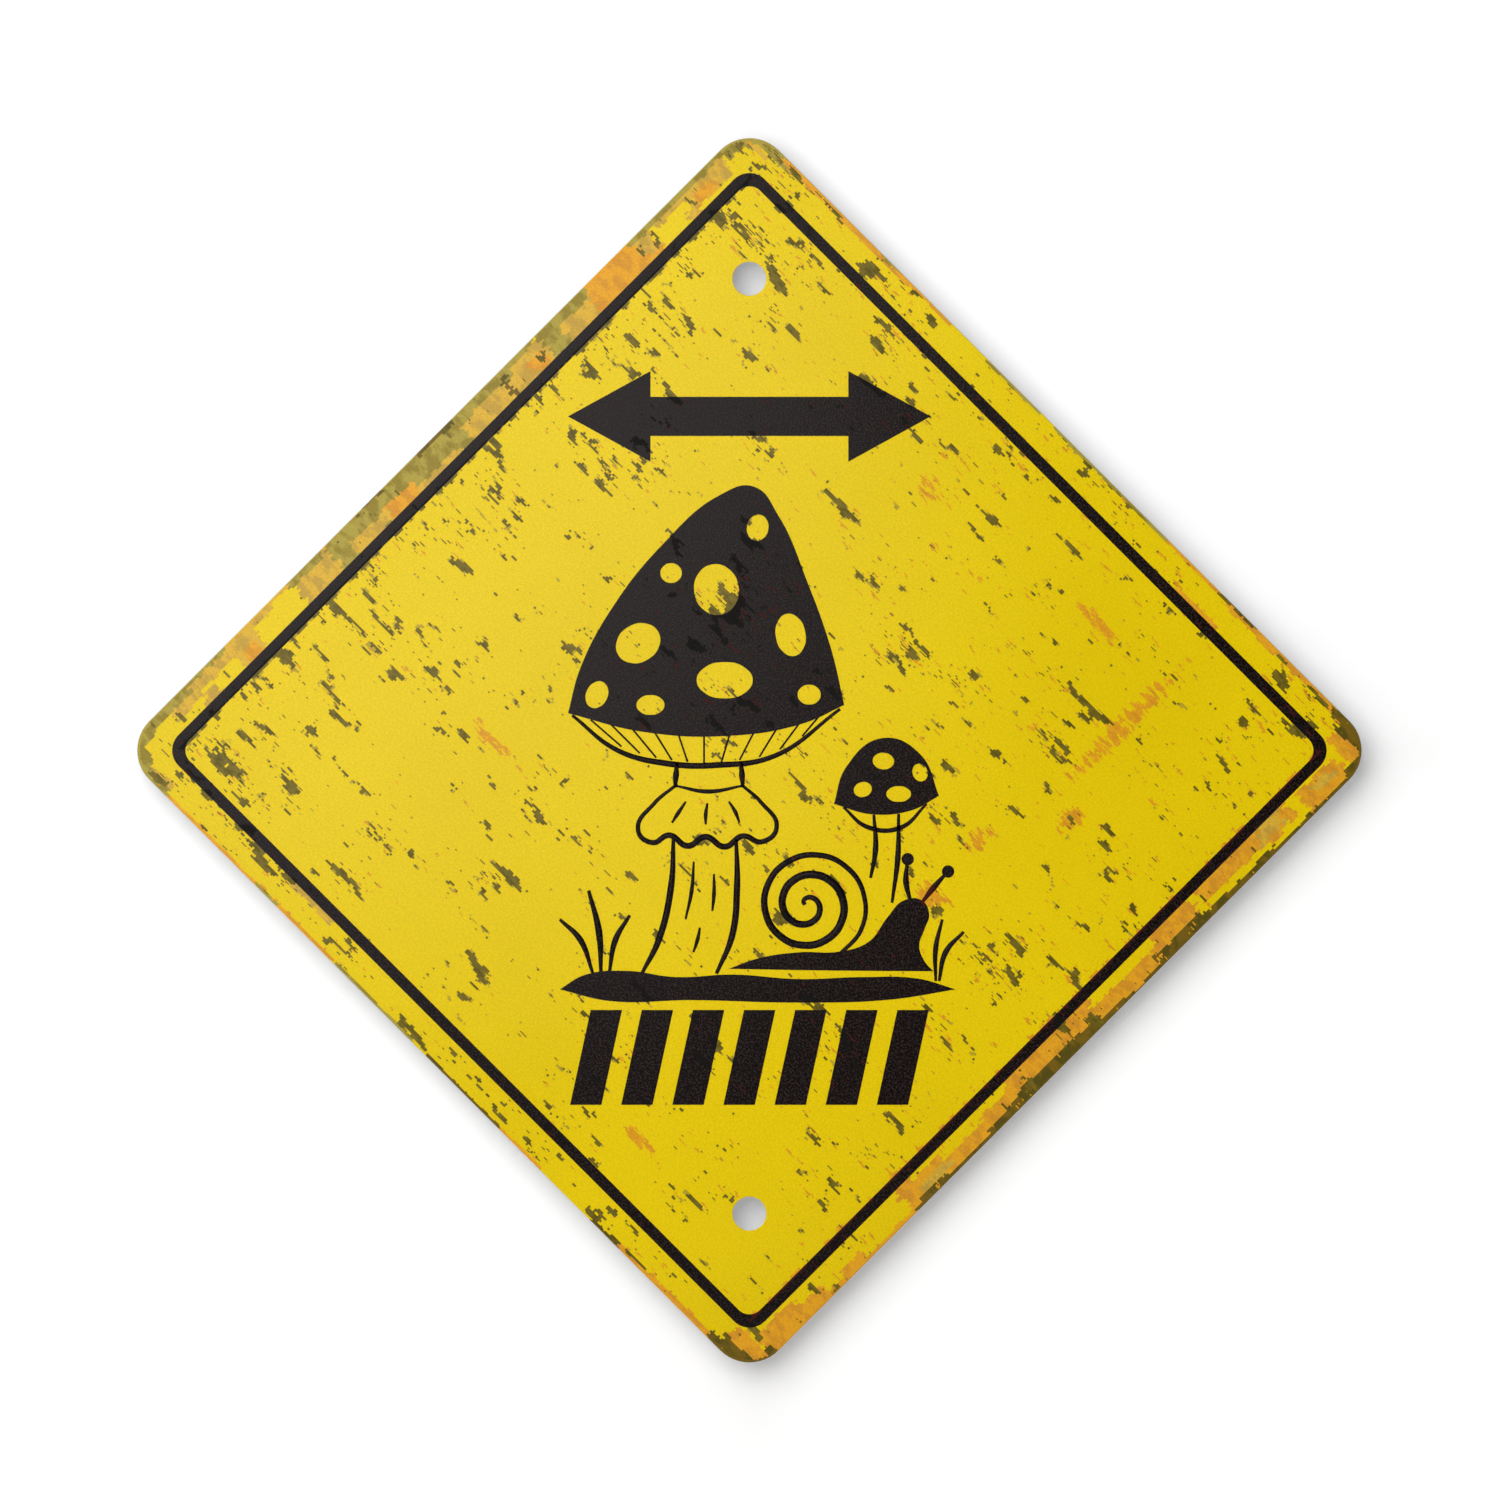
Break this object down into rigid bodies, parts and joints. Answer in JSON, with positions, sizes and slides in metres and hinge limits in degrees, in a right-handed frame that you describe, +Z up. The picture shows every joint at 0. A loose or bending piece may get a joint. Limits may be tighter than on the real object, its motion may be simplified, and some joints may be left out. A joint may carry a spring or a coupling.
{
  "type": "novelty crossing sign",
  "caption": "Thin square sheet-metal sign stood on one corner, with rounded corners, a screw hole near its top and bottom tips, and a printed line inside its edge.",
  "frame": {"origin": "middle of the sheet's flat back face, where its two diagonals cross", "axes": "+Z up through the top tip, -Y out of the printed front, +X to the right as the front is read"},
  "size_m": [0.297, 0.001, 0.297],
  "materials": {
    "yellow_enamel": "satin screen-printed enamel on aluminium sheet",
    "black_ink": "satin screen-printed ink",
    "printed_rust": "printed weathering under the black, satin",
    "bare_aluminium": "mill-finish rolled sheet, bare back and cut edges"
  },
  "bodies": {
    "root": {"sign_plate": "yellow_enamel"}
  },
  "joints": []
}
